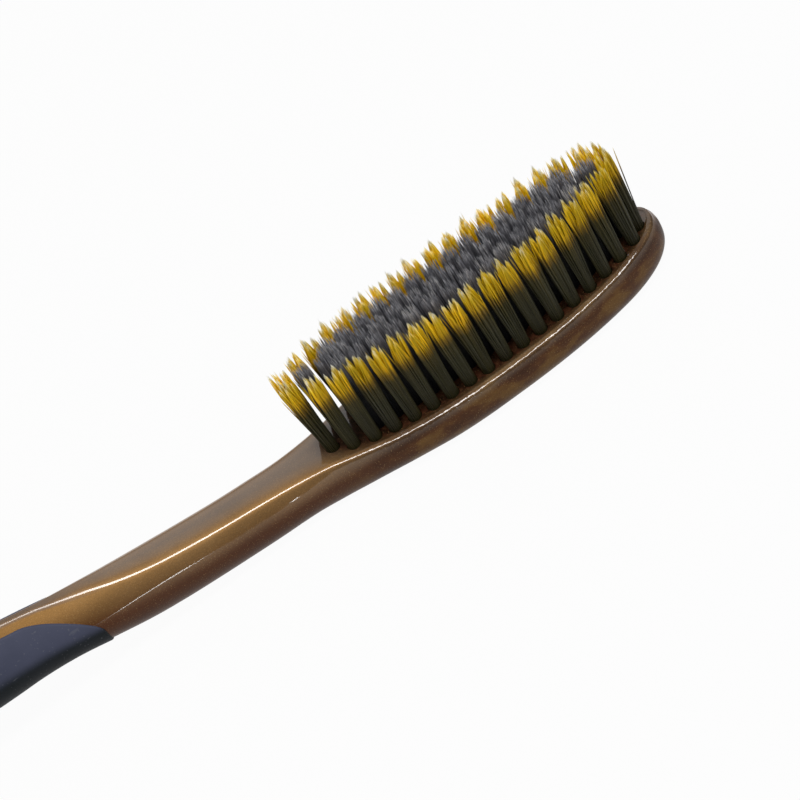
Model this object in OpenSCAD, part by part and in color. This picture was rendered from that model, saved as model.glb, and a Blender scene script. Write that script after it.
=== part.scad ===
// Manual toothbrush: a moulded handle with an oval, slightly dished head, a rubber overmould on the
// grip, and bristle tufts folded round small metal anchors in blind holes.
// +X runs to the tip of the head, +Z is the side with the bristles, and the brush lies on its back.

/* [Overall] */
// Length from the tail of the handle to the tip of the head
overall_l = 190; // [170:1:220]

/* [Head] */
// Distance from the middle of the head to its tip
head_reach = 22.3; // [22:0.1:26]
// Width across the head
head_w = 13.7; // [13.2:0.1:17]
// Thickness of the head at its middle
head_t = 4.9; // [4.4:0.1:7]
// How far the face of the head is dished, from its middle to the last tufts
face_dish = 0.45; // [0.1:0.05:1]
// How far the side of the head bulges past the edge of the face
side_bulge = 0.5; // [0.3:0.05:0.9]
// Radius under the nose of the head
nose_r = 8; // [5:0.1:9]
// How far the face turns up at the nose, past the last tufts
nose_rise = 0.3; // [0:0.05:0.5]

/* [Neck] */
// Width of the neck
neck_w = 7; // [6:0.1:9]
// Width of the flat between the two edges on top of the neck
neck_flat_w = 4.6; // [3:0.1:5]

/* [Grip] */
// Greatest width of the grip
grip_w = 12.5; // [10:0.1:16]
// Width of the tail just before its round end
tail_w = 10.4; // [8:0.1:14]
// Height of the thumb rest above the face of the head
thumb_h = 9.4; // [7:0.1:11]
// Height of the arch under the grip
arch_h = 5.4; // [4:0.1:6.5]
// Length of the round end of the tail
tail_round_l = 8; // [5:0.5:11]

/* [Rubber] */
// Thickness of the rubber in its recess
rubber_t = 1; // [0.6:0.1:1.2]
// How far the rubber stands proud of the handle
rubber_proud = 0.2; // [0.1:0.05:0.4]
// Distance from the tip of the head to the front edge of the rubber
rubber_front = 73.1; // [70:0.1:85]
// Distance from the end of the tail to the back edge of the rubber
rubber_back = 12; // [11:0.5:25]
// Length over which each end of the rubber rounds up onto the side
tongue_l = 7; // [4:0.5:12]

/* [Tufts] */
// Distance between neighbouring tufts in a row
tuft_pitch = 2.3; // [2.1:0.05:2.4]
// Columns of tufts on each side of the middle column, without the end pair
tuft_columns = 8; // [6:1:8]
// Step from the last full column to the end pair at the neck
end_step = 2; // [1.9:0.05:2.1]
// Step from the last full column to the end pair at the nose
tip_step = 1.4; // [1.35:0.05:1.6]
// How far the last middle tuft stands back from its column, to clear that pair
tip_inset = 0.45; // [0.35:0.05:0.5]
// Distance from the middle line to the outermost tufts
tuft_field_w = 4.65; // [4.5:0.05:5]
// Diameter of a tuft at its root
tuft_d = 1.5; // [1.2:0.05:1.55]
// Height of the outer bristles above the face
bristle_h = 11.1; // [8:0.1:14]
// How much shorter the inner bristles are
inner_drop = 0.4; // [0:0.1:1.5]
// Radius over which the tips of an outer tuft spread
outer_spread = 0.8; // [0.5:0.05:0.85]
// Radius over which the tips of an inner tuft spread
inner_spread = 0.5; // [0.4:0.05:0.6]

/* [Holes and anchors] */
// Diameter of the hole that holds a tuft
hole_d = 1.6; // [1.56:0.02:1.7]
// Depth of the hole
hole_depth = 3; // [2.4:0.1:3.2]
// Height of the metal anchor
anchor_h = 1.3; // [0.8:0.1:1.6]
// Length of the metal anchor across its hole
anchor_l = 1.5; // [1.2:0.02:1.52]
// Thickness of the metal anchor
anchor_t = 0.25; // [0.15:0.05:0.35]

/* [Hidden] */
$fn = 24;

// Gap between an anchor and the folded bristles around it
fold_gap = 0.02;
// Overrun of a cut past the surface that it opens
overrun = 1;
// Angle of the anchors to the length of the brush
anchor_turn = 30;
// Height of a tuft's plug above the face, where the strands part
root_rise = 0.25;
// Half width of what is left of the handle at its two ends
end_trim = 0.02;

tip_x = overall_l / 2;
tail_x = -overall_l / 2;
head_x = tip_x - head_reach;
last_column_x = tuft_columns * tuft_pitch;
field_l = last_column_x + end_step;
neck_x = head_x - field_l;
rubber_front_x = tip_x - rubber_front;
rubber_back_x = tail_x + rubber_back;

// Exponents of the ovals of the head and of the tuft field
head_power = 2.2;
field_power = 2.15;
// The tuft oval runs a little past its last pair of tufts
field_reach_share = 1.02;

// Smooth curve through a table of places and values, at the place u
function slope_at(table, i) =
    i == 0 ? (table[1][1] - table[0][1]) / (table[1][0] - table[0][0])
    : i == len(table) - 1 ? (table[i][1] - table[i - 1][1]) / (table[i][0] - table[i - 1][0])
    : (table[i + 1][1] - table[i - 1][1]) / (table[i + 1][0] - table[i - 1][0]);
function span_of(table, u, i = 0) =
    i >= len(table) - 2 || u < table[i + 1][0] ? i : span_of(table, u, i + 1);
function curve_in(table, u, i) =
    let (h = table[i + 1][0] - table[i][0], s = (u - table[i][0]) / h)
    (1 + 2 * s) * (1 - s) * (1 - s) * table[i][1] + s * (1 - s) * (1 - s) * h * slope_at(table, i)
    + s * s * (3 - 2 * s) * table[i + 1][1] - s * s * (1 - s) * h * slope_at(table, i + 1);
function curve_at(table, u) = curve_in(table, u, span_of(table, u));

// Places run from the middle of the head, at 0, or from the root of the neck, to the tail, at 1
function place_share(x) = max(0, (head_x - x) / (head_x - tail_x));
function neck_share(x) = max(0, (neck_x - x) / (neck_x - tail_x));

// Rise of the top line behind the head, up to the thumb rest
top_shares = [[0, 0], [0.011, 0.015], [0.038, 0.048], [0.065, 0.098], [0.093, 0.149], [0.12, 0.212],
              [0.148, 0.288], [0.175, 0.382], [0.2, 0.49], [0.224, 0.611], [0.238, 0.684], [0.259, 0.777],
              [0.285, 0.875], [0.325, 0.965], [0.38, 1], [0.45, 0.89], [0.52, 0.75], [0.59, 0.62], [0.68, 0.48],
              [0.78, 0.36], [0.88, 0.27], [0.95, 0.223], [1, 0.204]];
// Rise of the underside in the arch
arch_shares = [[0, 0], [0.12, 0], [0.15, 0.02], [0.18, 0.045], [0.204, 0.095], [0.228, 0.15], [0.252, 0.22],
               [0.276, 0.325], [0.3, 0.49], [0.324, 0.665], [0.348, 0.765], [0.372, 0.79], [0.408, 0.87],
               [0.456, 1], [0.504, 0.93], [0.552, 0.73], [0.6, 0.45], [0.647, 0.18], [0.683, 0.04], [0.72, 0],
               [0.78, 0], [0.84, 0.03], [0.9, 0.1], [0.96, 0.18], [1, 0.22]];
// How much of the lift for the proud rubber the underside has
lift_shares = [[0, 0], [0.26, 0], [0.34, 1], [1, 1]];
// What the head, the grip and the tail add to the width of the neck
head_width_shares = [[0, 1], [0.03, 0.97], [0.06, 0.845], [0.085, 0.65], [0.11, 0.345], [0.132, 0.09],
                     [0.156, 0], [0.18, 0], [1, 0]];
grip_width_shares = [[0, 0], [0.27, 0], [0.3, 0.02], [0.348, 0.07], [0.372, 0.11], [0.42, 0.28],
                     [0.5, 0.68], [0.57, 0.94], [0.63, 1], [0.72, 0.86], [0.82, 0.48], [0.92, 0.12], [1, 0]];
tail_width_shares = [[0, 0], [0.63, 0], [0.72, 0.12], [0.82, 0.48], [0.92, 0.88], [1, 1]];
// How much of the head's, and of the neck's, flat top is there
face_width_shares = [[0, 1], [0.03, 0.98], [0.06, 0.868], [0.084, 0.7], [0.11, 0.455], [0.132, 0.21],
                     [0.156, 0.07], [0.18, 0.02], [0.21, 0], [1, 0]];
neck_flat_shares = [[0, 1], [0.2, 1], [0.228, 0.97], [0.252, 0.92], [0.276, 0.79], [0.3, 0.575],
                    [0.318, 0.375], [0.332, 0.25], [0.35, 0.215], [0.4, 0.26], [0.5, 0.5],
                    [0.6, 0.7], [1, 0.6]];
// Height of the side's shoulder between the widest line and the flat: low where the grip's ridge is steep
shoulder_shares = [[0, 0.54], [0.132, 0.55], [0.18, 0.57], [0.252, 0.58], [0.3, 0.45], [0.33, 0.33],
                   [0.36, 0.3], [0.45, 0.4], [0.6, 0.75], [1, 0.8]];
// Part of the half width that the lower edge rounds over
edge_shares = [[0, 0.39], [0.05, 0.41], [0.084, 0.6], [0.132, 0.64], [0.156, 0.88], [0.2, 0.96],
               [0.348, 0.97], [0.42, 0.96], [0.55, 0.82], [0.7, 0.7], [1, 0.85]];
// Height of the widest line in the side
waist_shares = [[0, 0.5], [0.25, 0.5], [0.3, 0.48], [0.35, 0.45], [0.42, 0.45], [0.6, 0.45], [1, 0.5]];

function oval_share(u, power) = pow(max(0, 1 - pow(min(1, abs(u)), power)), 1 / power);
function round_share(u) = sqrt(max(0, 1 - pow(min(1, max(0, u)), 2)));
function tail_share(x) = round_share((tail_x + tail_round_l - x) / tail_round_l);

// Half widths of the body and of its flat top at x
function half_w(x) =
    let (u = place_share(x))
    x >= head_x ? head_w / 2 * oval_share((x - head_x) / head_reach, head_power)
    : tail_share(x) * (neck_w + (head_w - neck_w) * curve_at(head_width_shares, u)
                       + (grip_w - neck_w) * curve_at(grip_width_shares, u)
                       + (tail_w - neck_w) * curve_at(tail_width_shares, u)) / 2;
function flat_half(x) =
    let (u = place_share(x), face_half = head_w / 2 - side_bulge)
    max(end_trim,
        x >= head_x ? face_half * oval_share((x - head_x) / (head_reach - side_bulge), head_power)
        : tail_share(x) * (neck_flat_w / 2 * curve_at(neck_flat_shares, u)
                           + (face_half - neck_flat_w / 2) * curve_at(face_width_shares, u)));

// Top line, which is the dished face along the head, and underside
function face_z(x) =
    let (s = (x - head_x) / last_column_x,
         past = max(0, s * abs(s) - 1) / (pow(head_reach / last_column_x, 2) - 1))
    head_t + face_dish * s * s + nose_rise * past * past;
function line_top(x) =
    x >= neck_x ? face_z(x)
    : face_z(neck_x) + (head_t + thumb_h - face_z(neck_x)) * curve_at(top_shares, neck_share(x));
function line_back(x) =
    arch_h * max(0, curve_at(arch_shares, place_share(x)))
    + rubber_proud * curve_at(lift_shares, place_share(x));
function mid_z(x) =
    line_back(x) + (line_top(x) - line_back(x))
    * (curve_at(waist_shares, place_share(x)) + nose_waist_share * (1 - nose_share(x)));

// How much higher the widest line lies at the nose
nose_waist_share = 0.2;
// How much more the lower edge rounds over at the nose
nose_edge_share = 0.2;
// Angle over which the nose turns up to the face, as the sides do. Both ends keep a part of their height.
nose_turn = 32;
blunt_share = 0.25;
function nose_top_share(x) =
    let (s = min(1, (tip_x - x) / side_bulge))
    sin(acos(1 - (1 - cos(nose_turn)) * s)) / sin(nose_turn);
function nose_share(x) = round_share((x - tip_x + nose_r) / nose_r);
function nose_back_share(x) = blunt_share + (1 - blunt_share) * nose_share(x);
function tail_fall_share(x) = blunt_share + (1 - blunt_share) * tail_share(x);
function top_z(x) = mid_z(x) + (line_top(x) - mid_z(x)) * min(nose_top_share(x), tail_fall_share(x));
function back_z(x) = mid_z(x) - (mid_z(x) - line_back(x)) * min(nose_back_share(x), tail_fall_share(x));

// Height of the shoulder, and part of the half width that the lower edge rounds over, at x
function knee_z(x) = mid_z(x) + (top_z(x) - mid_z(x)) * curve_at(shoulder_shares, place_share(x));
function edge_share(x) =
    curve_at(edge_shares, place_share(x)) + nose_edge_share * pow(max(0, (x - head_x) / head_reach), 2);

// A point of the section at x. t runs from 0 at the edge of the flat, past the shoulder to 1 at the widest
// line, and to 2 where the underside is flat. depth moves the point inwards, square to the outline.
function section_point(x, t, depth = 0) =
    t <= 1 ? upper_point(x, 1 - t, depth) : lower_point(x, 90 * (t - 1), depth);
function upper_point(x, b, depth) =
    let (w = half_w(x), flat = flat_half(x), mid = mid_z(x), top = top_z(x), knee = knee_z(x),
         n = [b * (top - knee) + (1 - b) * (knee - mid), b * (w - flat)], m = n / norm(n))
    [x, b * b * flat + (1 - b * b) * w - depth * m[0],
     b * b * top + 2 * b * (1 - b) * knee + (1 - b) * (1 - b) * mid - depth * m[1]];
function lower_point(x, a, depth) =
    let (w = half_w(x), mid = mid_z(x), ry = w * edge_share(x), rz = mid - back_z(x),
         n = [cos(a) / ry, -sin(a) / rz], m = n / norm(n))
    [x, w - ry + ry * cos(a) - depth * m[0], mid - rz * sin(a) - depth * m[1]];
function mirrored(p) = [p[0], -p[1], p[2]];
function both_sides(half) = concat(half, [for (i = [len(half) - 1:-1:0]) mirrored(half[i])]);

// Where the rubber begins on the section at x: high up on the side, and at the widest line at its ends
rubber_top_share = 0.125;
// Exponents of its rise at the ends
rise_power = 0.6;
fall_power = 1.53;
function rubber_edge_share(x) =
    let (s = min(1, max(0, min(rubber_front_x - x, x - rubber_back_x) / tongue_l)))
    rubber_top_share + (1 - rubber_top_share) * pow(1 - pow(s, rise_power), fall_power);

// Steps along the outline above and below the edge of the rubber
upper_steps = 4;
lower_steps = 8;
function steps(from, to, n, first = 0) = [for (i = [first:n]) from + (to - from) * i / n];

// Rings of points: the plain body, the body with its recess, and the skin or bed of the rubber
function plain_ring(x) =
    both_sides([for (t = concat(steps(0, 1, upper_steps), steps(1, 2, lower_steps, 1))) section_point(x, t)]);
function recessed_ring(x) =
    let (e = rubber_edge_share(x))
    both_sides(concat([for (t = steps(0, e, upper_steps)) section_point(x, t)],
                      [for (t = steps(e, 2, lower_steps)) section_point(x, t, rubber_t)]));
function rubber_ring(x, depth) =
    both_sides([for (t = steps(rubber_edge_share(x), 2, lower_steps)) section_point(x, t, depth)]);

// Places of the rings
grip_rings = 38;
neck_rings = 26;
head_rings = 24;
tail_rings = 9;
grip_places = [for (i = [0:grip_rings])
    rubber_back_x + (rubber_front_x - rubber_back_x) * (1 - cos(180 * i / grip_rings)) / 2];
tail_places = [for (i = [0:tail_rings])
    rubber_back_x + (tail_x + end_trim - rubber_back_x) * sin(90 * (1 - i / tail_rings))];
front_places = concat(steps(rubber_front_x, head_x, neck_rings),
                      [for (i = [1:head_rings]) head_x + (head_reach - end_trim) * sin(90 * i / head_rings)]);

// Faces: strips between two rows of n points, tubes of closed rings, and end caps
function flat_list(lists) = [for (l = lists) for (p = l) p];
function strip_faces(n, a, b) =
    [for (i = [0:n - 2]) for (f = [[a + i, a + i + 1, b + i + 1], [a + i, b + i + 1, b + i]]) f];
function tube_faces(rings, n, at) =
    [for (k = [0:rings - 2]) for (i = [0:n - 1])
        let (a = at + k * n + i, b = at + k * n + (i + 1) % n)
        for (f = [[a, b, b + n], [a, b + n, a + n]]) f];
function cap_faces(n, at) = [for (i = [1:n - 2]) [at, at + i, at + i + 1]];
function turned(faces) = [for (f = faces) [f[0], f[2], f[1]]];

plain_n = 2 * (upper_steps + lower_steps + 1);
recess_n = plain_n + 2;
rubber_n = 2 * (lower_steps + 1);

module body() {
    grip_at = len(tail_places) * plain_n;
    front_at = grip_at + len(grip_places) * recess_n;
    grip_end = front_at - recess_n;
    points = concat(flat_list([for (x = tail_places) plain_ring(x)]),
                    flat_list([for (x = grip_places) recessed_ring(x)]),
                    flat_list([for (x = front_places) plain_ring(x)]));
    polyhedron(points = points, convexity = 6, faces = concat(
        turned(cap_faces(plain_n, 0)),
        tube_faces(len(tail_places), plain_n, 0),
        strip_faces(rubber_n, grip_at - plain_n + upper_steps, grip_at + upper_steps + 1),
        tube_faces(len(grip_places), recess_n, grip_at),
        strip_faces(rubber_n, grip_end + upper_steps + 1, front_at + upper_steps),
        tube_faces(len(front_places), plain_n, front_at),
        cap_faces(plain_n, front_at + (len(front_places) - 1) * plain_n)));
}

module rubber() {
    ring_n = 2 * rubber_n;
    last = (len(grip_places) - 1) * ring_n;
    points = flat_list([for (x = grip_places) concat(rubber_ring(x, -rubber_proud), rubber_ring(x, rubber_t))]);
    polyhedron(points = points, convexity = 6, faces = concat(
        turned(strip_faces(rubber_n, 0, rubber_n)),
        flat_list([for (k = [0:len(grip_places) - 2]) rubber_band(k * ring_n, (k + 1) * ring_n)]),
        strip_faces(rubber_n, last, last + rubber_n)));
}
// Faces of one stretch of the rubber, from the ring at a to the ring at b: skin, bed and long edges
function rubber_band(a, b) =
    let (n = rubber_n, e = n - 1)
    concat(strip_faces(n, a, b), turned(strip_faces(n, a + n, b + n)),
           [[a, b, b + n], [a, b + n, a + n], [a + e, b + n + e, b + e], [a + e, a + n + e, b + n + e]]);

// Tuft places, as offsets from the middle of the head
field_reach = field_l * field_reach_share;
function field_y(x) = tuft_field_w * oval_share(x / field_reach, field_power);
function other_side(places) = [for (p = places) [p[0], -p[1]]];
outer_x = concat([-field_l], [for (i = [-tuft_columns:tuft_columns]) i * tuft_pitch]);
outer_places = concat([for (x = outer_x) [x, field_y(x)]], [[last_column_x + tip_step, field_y(field_l)]]);
inner_places = [for (i = [1 - tuft_columns:tuft_columns - 2])
    let (x = (i + 1 / 2) * tuft_pitch) [x, field_y(x) / 2]];
middle_places = concat([for (i = [-tuft_columns:tuft_columns - 1]) [i * tuft_pitch, 0]],
                       [[last_column_x - tip_inset, 0]]);
all_places = concat(outer_places, other_side(outer_places), inner_places, other_side(inner_places),
                    middle_places);

// Strands of an outer and of an inner tuft
outer_strands = 5;
inner_strands = 4;
// Height of a strand's tip, uneven from strand to strand
uneven_share = 0.045;
function tip_height_share(i, k) = 1 + uneven_share * sin(137 * k + 251 * i);
// Places and widths of the strands at the root and below the tip, as shares of the tuft's radius
root_circle_share = 0.56;
root_strand_share = 0.29;
tip_strand_share = 0.4;
// Height at which a strand starts to taper to its point
taper_share = 0.84;

// Corner j of strand k on a circle of radius r at the height z
function strand_corner(k, count, j, r, strand_r, z) =
    let (a = 360 * (k + 1 / 2) / count, b = a + 120 * j)
    [r * cos(a) + strand_r * cos(b), r * sin(a) + strand_r * sin(b), z];
function circle_point(i, sides, z) = [tuft_d / 2 * cos(360 * i / sides), tuft_d / 2 * sin(360 * i / sides), z];

// One tuft: a plug of folded bristles in its hole, and strands that part above the face
module tuft(i, count, tall, spread) {
    r = tuft_d / 2;
    sides = 2 * count;
    strands = [0:count - 1];
    points = concat(
        [for (s = [0:sides - 1]) circle_point(s, sides, -hole_depth)],
        [for (s = [0:sides - 1]) circle_point(s, sides, root_rise)],
        [[0, 0, root_rise]],
        [for (k = strands) for (j = [0:2])
            strand_corner(k, count, j, root_circle_share * r, root_strand_share * r, root_rise)],
        [for (k = strands) for (j = [0:2])
            strand_corner(k, count, j, spread, tip_strand_share * r, tall * taper_share)],
        [for (k = strands) strand_corner(k, count, 0, spread, 0, tall * tip_height_share(i, k))]);
    polyhedron(points = points, faces = concat(
        cap_faces(sides, 0),
        turned(tube_faces(2, sides, 0)),
        flat_list([for (k = strands) strand_faces(k, count, sides)])));
}
// Faces of one strand, with its part of the plug's top; c is the middle of that top
function strand_faces(k, count, sides) =
    let (left = sides + 2 * k, mid = left + 1, right = sides + (2 * k + 2) % sides, c = 2 * sides,
         v = c + 1 + 3 * k, w = v + 3 * count, tip = c + 1 + 6 * count + k)
    concat([[c, v + 2, left], [left, v + 2, v], [left, v, mid], [mid, v, right],
            [right, v, v + 1], [right, v + 1, c], [c, v + 1, v + 2]],
           [for (j = [0:2]) let (n = (j + 1) % 3)
               for (f = [[v + j, w + j, w + n], [v + j, w + n, v + n], [w + j, tip, w + n]]) f]);

// The fold of the bristles passes under the anchor
anchor_foot = anchor_t;
module anchors(places, gap) {
    for (p = places)
        translate([head_x + p[0], p[1], face_z(head_x + p[0]) - hole_depth + anchor_foot])
            rotate([0, 0, anchor_turn])
                translate([-anchor_l / 2 - gap, -anchor_t / 2 - gap, -gap])
                    cube([anchor_l + 2 * gap, anchor_t + 2 * gap, anchor_h + 2 * gap]);
}

module tufts(places, count, tall, spread) {
    difference() {
        for (i = [0:len(places) - 1])
            let (x = head_x + places[i][0])
            translate([x, places[i][1], face_z(x)])
                tuft(i, count, tall + (face_z(x) - head_t) / 2, spread);
        anchors(places, fold_gap);
    }
}
module outer_row(places) {
    color([0.85, 0.66, 0.08]) tufts(places, outer_strands, bristle_h, outer_spread);
}
module inner_row(places) {
    color([0.3, 0.31, 0.34]) tufts(places, inner_strands, bristle_h - inner_drop, inner_spread);
}

module handle() {
    color([0.52, 0.36, 0.16])
        difference() {
            body();
            for (p = all_places)
                translate([head_x + p[0], p[1], face_z(head_x + p[0]) - hole_depth])
                    cylinder(h = hole_depth + overrun, d = hole_d);
        }
}
module rubber_grip() { color([0.13, 0.14, 0.17]) rubber(); }
module outer_tufts_left() { outer_row(outer_places); }
module outer_tufts_right() { outer_row(other_side(outer_places)); }
module inner_tufts_left() { inner_row(inner_places); }
module inner_tufts_right() { inner_row(other_side(inner_places)); }
module middle_tufts() { inner_row(middle_places); }
module tuft_anchors() { color([0.78, 0.68, 0.42]) anchors(all_places, 0); }

handle();
rubber_grip();
outer_tufts_left();
outer_tufts_right();
inner_tufts_left();
inner_tufts_right();
middle_tufts();
tuft_anchors();
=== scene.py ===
"""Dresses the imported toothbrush: smooth handle and rubber, fine bristles, materials, light and camera."""
import math

import bpy
import numpy as np
from mathutils import Matrix, Vector


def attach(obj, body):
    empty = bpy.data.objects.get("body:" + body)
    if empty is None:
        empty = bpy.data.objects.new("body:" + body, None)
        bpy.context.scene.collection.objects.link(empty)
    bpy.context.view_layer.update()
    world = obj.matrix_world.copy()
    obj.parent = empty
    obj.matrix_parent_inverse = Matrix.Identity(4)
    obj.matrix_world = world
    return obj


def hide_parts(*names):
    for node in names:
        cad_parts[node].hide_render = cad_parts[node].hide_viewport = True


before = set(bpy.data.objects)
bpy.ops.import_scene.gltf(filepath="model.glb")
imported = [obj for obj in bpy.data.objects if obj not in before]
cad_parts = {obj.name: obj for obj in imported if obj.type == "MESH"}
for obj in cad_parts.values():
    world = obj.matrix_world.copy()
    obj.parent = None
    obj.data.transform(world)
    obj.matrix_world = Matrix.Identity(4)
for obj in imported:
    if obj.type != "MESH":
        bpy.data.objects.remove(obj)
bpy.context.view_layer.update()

MM = 0.001

# Driving sizes, in millimetres, and one count. part.scad has them under the same names in small letters.
OVERALL_L = 190.0
HEAD_REACH = 22.3
HEAD_W = 13.7
HEAD_T = 4.9
FACE_DISH = 0.45
SIDE_BULGE = 0.5
NOSE_R = 8.0
NOSE_RISE = 0.3
NECK_W = 7.0
NECK_FLAT_W = 4.6
GRIP_W = 12.5
TAIL_W = 10.4
THUMB_H = 9.4
ARCH_H = 5.4
TAIL_ROUND_L = 8.0
RUBBER_PROUD = 0.2
RUBBER_FRONT = 73.1
RUBBER_BACK = 12.0
TONGUE_L = 7.0
TUFT_PITCH = 2.3
TUFT_COLUMNS = 8
END_STEP = 2.0
TIP_STEP = 1.4
TIP_INSET = 0.45
TUFT_FIELD_W = 4.65
TUFT_D = 1.5
BRISTLE_H = 11.1
INNER_DROP = 0.4
HOLE_D = 1.6
HOLE_DEPTH = 3.0

# Places along the brush
TIP_X = OVERALL_L / 2
TAIL_X = -OVERALL_L / 2
HEAD_X = TIP_X - HEAD_REACH
LAST_COLUMN_X = TUFT_COLUMNS * TUFT_PITCH
FIELD_L = LAST_COLUMN_X + END_STEP
NECK_X = HEAD_X - FIELD_L
RUBBER_FRONT_X = TIP_X - RUBBER_FRONT
RUBBER_BACK_X = TAIL_X + RUBBER_BACK

# Exponents of the ovals of the head and of the tuft field, which runs a little past its last pair of tufts
HEAD_POWER = 2.2
FIELD_POWER = 2.15
FIELD_REACH_SHARE = 1.02
# How much higher the widest line lies at the nose, and how much more the lower edge rounds over there
NOSE_WAIST_SHARE = 0.2
NOSE_EDGE_SHARE = 0.2
# Angle over which the nose turns up to the face. Both ends keep a part of their height.
NOSE_TURN = math.radians(32)
BLUNT_SHARE = 0.25
# Where the rubber begins on the side, and the exponents of its rise at the ends
RUBBER_TOP_SHARE = 0.125
RISE_POWER = 0.6
FALL_POWER = 1.53
# The dressed handle stops this far short of both ends, and half of its flat top is at least this wide
END_TRIM = 0.03
# At most this part of the width is flat
FLAT_MOST_SHARE = 0.98

# The edge between top and side is rounded this far down the side, and this far in over the top
CREASE_REACH = 0.32
CREASE_ROLL = 0.5
# The rim of the head is rounder than the neck's edge by these
HEAD_REACH_MORE = 0.1
HEAD_ROLL_MORE = 0.25
# Where the section is narrow, the rounding takes at most these parts of the side and of the top, and this
# little more of the side
NARROW_REACH_SHARE = 0.9
NARROW_ROLL_SHARE = 0.8
LEAST_REACH = 0.01
# The two inner control points of the rounding's curve lie on the top and on the side, this part of the way
# from the curve's ends to the sharp edge. The second lies nearer to the edge on the neck.
LEAD_SHARE = 0.65
TRAIL_SHARE = 0.58
NECK_TRAIL_MORE = 0.37
# The neck's top is crowned, and falls to the edge over a width that grows from the head to the neck
NECK_CROWN = 0.55
CROWN_MOST_SHARE = 0.4
CROWN_POWER = 2.3
CROWN_FALL_W = 1.0
NECK_FALL_MORE = 2.0
# A low bead runs along the rim of the head, this far inside its edge
BEAD_IN = 0.5
BEAD_H = 0.045
BEAD_HALF_W = 0.13
# The dressed pieces go no lower than the solids, whose underside dips a little under the floor
LOWEST_Z = -0.0165
# The head gives way to the neck from this far behind the middle of the head, and over this length
NECK_BLEND_FROM = 13.0
NECK_BLEND_L = 12.0

# Steps round one half of a section: over the top, the rounding, the side, the lower edge and the back
TOP_STEPS = 16
ROUNDING_STEPS = 12
SIDE_STEPS = 20
LOWER_STEPS = 14
BACK_STEPS = 3
# Points by which the end of the rounding is searched for on the side, and half a step for a slope along x
SEARCH_POINTS = 60
SLOPE_STEP = 0.05

# Places run from the middle of the head, at 0, or from the root of the neck, to the tail, at 1.
# Rise of the top line behind the head, up to the thumb rest
TOP_SHARES = [
    [0, 0], [0.011, 0.015], [0.038, 0.048], [0.065, 0.098], [0.093, 0.149], [0.12, 0.212],
    [0.148, 0.288], [0.175, 0.382], [0.2, 0.49], [0.224, 0.611], [0.238, 0.684], [0.259, 0.777],
    [0.285, 0.875], [0.325, 0.965], [0.38, 1], [0.45, 0.89], [0.52, 0.75], [0.59, 0.62], [0.68, 0.48],
    [0.78, 0.36], [0.88, 0.27], [0.95, 0.223], [1, 0.204]]
# Rise of the underside in the arch
ARCH_SHARES = [
    [0, 0], [0.12, 0], [0.15, 0.02], [0.18, 0.045], [0.204, 0.095], [0.228, 0.15], [0.252, 0.22],
    [0.276, 0.325], [0.3, 0.49], [0.324, 0.665], [0.348, 0.765], [0.372, 0.79], [0.408, 0.87],
    [0.456, 1], [0.504, 0.93], [0.552, 0.73], [0.6, 0.45], [0.647, 0.18], [0.683, 0.04], [0.72, 0],
    [0.78, 0], [0.84, 0.03], [0.9, 0.1], [0.96, 0.18], [1, 0.22]]
# How much of the lift for the proud rubber the underside has
LIFT_SHARES = [[0, 0], [0.26, 0], [0.34, 1], [1, 1]]
# What the head, the grip and the tail add to the width of the neck
HEAD_WIDTH_SHARES = [
    [0, 1], [0.03, 0.97], [0.06, 0.845], [0.085, 0.65], [0.11, 0.345], [0.132, 0.09],
    [0.156, 0], [0.18, 0], [1, 0]]
GRIP_WIDTH_SHARES = [
    [0, 0], [0.27, 0], [0.3, 0.02], [0.348, 0.07], [0.372, 0.11], [0.42, 0.28],
    [0.5, 0.68], [0.57, 0.94], [0.63, 1], [0.72, 0.86], [0.82, 0.48], [0.92, 0.12], [1, 0]]
TAIL_WIDTH_SHARES = [[0, 0], [0.63, 0], [0.72, 0.12], [0.82, 0.48], [0.92, 0.88], [1, 1]]
# How much of the head's, and of the neck's, flat top is there
FACE_WIDTH_SHARES = [
    [0, 1], [0.03, 0.98], [0.06, 0.868], [0.084, 0.7], [0.11, 0.455], [0.132, 0.21],
    [0.156, 0.07], [0.18, 0.02], [0.21, 0], [1, 0]]
NECK_FLAT_SHARES = [
    [0, 1], [0.2, 1], [0.228, 0.97], [0.252, 0.92], [0.276, 0.79], [0.3, 0.575],
    [0.318, 0.375], [0.332, 0.25], [0.35, 0.215], [0.4, 0.26], [0.5, 0.5], [0.6, 0.7], [1, 0.6]]
# Height of the side's shoulder between the widest line and the flat
SHOULDER_SHARES = [
    [0, 0.54], [0.132, 0.55], [0.18, 0.57], [0.252, 0.58], [0.3, 0.45], [0.33, 0.33],
    [0.36, 0.3], [0.45, 0.4], [0.6, 0.75], [1, 0.8]]
# Part of the half width that the lower edge rounds over
EDGE_SHARES = [
    [0, 0.39], [0.05, 0.41], [0.084, 0.6], [0.132, 0.64], [0.156, 0.88], [0.2, 0.96],
    [0.348, 0.97], [0.42, 0.96], [0.55, 0.82], [0.7, 0.7], [1, 0.85]]
# Height of the widest line in the side
WAIST_SHARES = [[0, 0.5], [0.25, 0.5], [0.3, 0.48], [0.35, 0.45], [0.42, 0.45], [0.6, 0.45], [1, 0.5]]


def clamped(u):
    return min(1.0, max(0.0, u))


def smooth_share(u):
    """From 0 to 1 as u does, without a corner at either end."""
    u = clamped(u)
    return u * u * (3 - 2 * u)


def oval_share(u, power):
    return max(0.0, 1 - min(1.0, abs(u)) ** power) ** (1 / power)


def round_share(u):
    return math.sqrt(1 - clamped(u) ** 2)


def slope_at(table, i):
    lo, hi = max(0, i - 1), min(len(table) - 1, i + 1)
    return (table[hi][1] - table[lo][1]) / (table[hi][0] - table[lo][0])


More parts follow.
